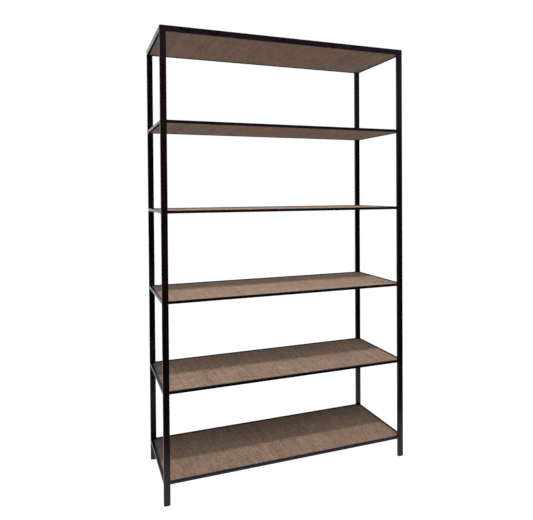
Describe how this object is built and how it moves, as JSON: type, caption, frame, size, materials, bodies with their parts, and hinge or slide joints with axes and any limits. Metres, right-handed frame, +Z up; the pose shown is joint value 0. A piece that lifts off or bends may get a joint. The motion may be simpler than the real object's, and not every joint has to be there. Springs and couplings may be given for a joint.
{
  "type": "bookcase with adjustable shelves",
  "caption": "Tall open bookcase: black metal tube frame with woven-faced shelves, the middle ones resting on pins so that they lift off and move to other holes.",
  "frame": {"origin": "on the floor, under the centre of the four posts", "axes": "+Z up, -Y towards the front, +X to the right seen from the front"},
  "size_m": [1.24, 0.48, 2.134],
  "materials": {
    "black_metal": "satin black powder coat",
    "woven_panel": "ribbed taupe grasscloth bonded to a board",
    "black_plastic": "matte moulded",
    "pin_steel": "zinc plated"
  },
  "bodies": {
    "frame": {"front_left_post": "black_metal", "front_left_glide": "black_plastic", "front_right_post": "black_metal", "front_right_glide": "black_plastic", "back_left_post": "black_metal", "back_left_glide": "black_plastic", "back_right_post": "black_metal", "back_right_glide": "black_plastic", "top_front_rail": "black_metal", "top_back_rail": "black_metal", "top_left_rail": "black_metal", "top_right_rail": "black_metal", "top_panel": "woven_panel", "bottom_front_rail": "black_metal", "bottom_back_rail": "black_metal", "bottom_left_rail": "black_metal", "bottom_right_rail": "black_metal", "bottom_panel": "woven_panel", "shelf_1_pin_front_left": "pin_steel", "shelf_1_pin_front_right": "pin_steel", "shelf_1_pin_back_left": "pin_steel", "shelf_1_pin_back_right": "pin_steel", "shelf_2_pin_front_left": "pin_steel", "shelf_2_pin_front_right": "pin_steel", "shelf_2_pin_back_left": "pin_steel", "shelf_2_pin_back_right": "pin_steel", "shelf_3_pin_front_left": "pin_steel", "shelf_3_pin_front_right": "pin_steel", "shelf_3_pin_back_left": "pin_steel", "shelf_3_pin_back_right": "pin_steel", "shelf_4_pin_front_left": "pin_steel", "shelf_4_pin_front_right": "pin_steel", "shelf_4_pin_back_left": "pin_steel", "shelf_4_pin_back_right": "pin_steel"},
    "shelf_1": {"shelf_1_front_rail": "black_metal", "shelf_1_back_rail": "black_metal", "shelf_1_left_rail": "black_metal", "shelf_1_right_rail": "black_metal", "shelf_1_panel": "woven_panel"},
    "shelf_2": {"shelf_2_front_rail": "black_metal", "shelf_2_back_rail": "black_metal", "shelf_2_left_rail": "black_metal", "shelf_2_right_rail": "black_metal", "shelf_2_panel": "woven_panel"},
    "shelf_3": {"shelf_3_front_rail": "black_metal", "shelf_3_back_rail": "black_metal", "shelf_3_left_rail": "black_metal", "shelf_3_right_rail": "black_metal", "shelf_3_panel": "woven_panel"},
    "shelf_4": {"shelf_4_front_rail": "black_metal", "shelf_4_back_rail": "black_metal", "shelf_4_left_rail": "black_metal", "shelf_4_right_rail": "black_metal", "shelf_4_panel": "woven_panel"}
  },
  "joints": [
    {"name": "shelf_1_lift", "type": "slide", "parent": "frame", "child": "shelf_1", "axis": [0, 0, 1], "range_m": [0, 0.3893]},
    {"name": "shelf_2_lift", "type": "slide", "parent": "frame", "child": "shelf_2", "axis": [0, 0, 1], "range_m": [0, 0.383]},
    {"name": "shelf_3_lift", "type": "slide", "parent": "frame", "child": "shelf_3", "axis": [0, 0, 1], "range_m": [0, 0.383]},
    {"name": "shelf_4_lift", "type": "slide", "parent": "frame", "child": "shelf_4", "axis": [0, 0, 1], "range_m": [0, 0.383]}
  ]
}
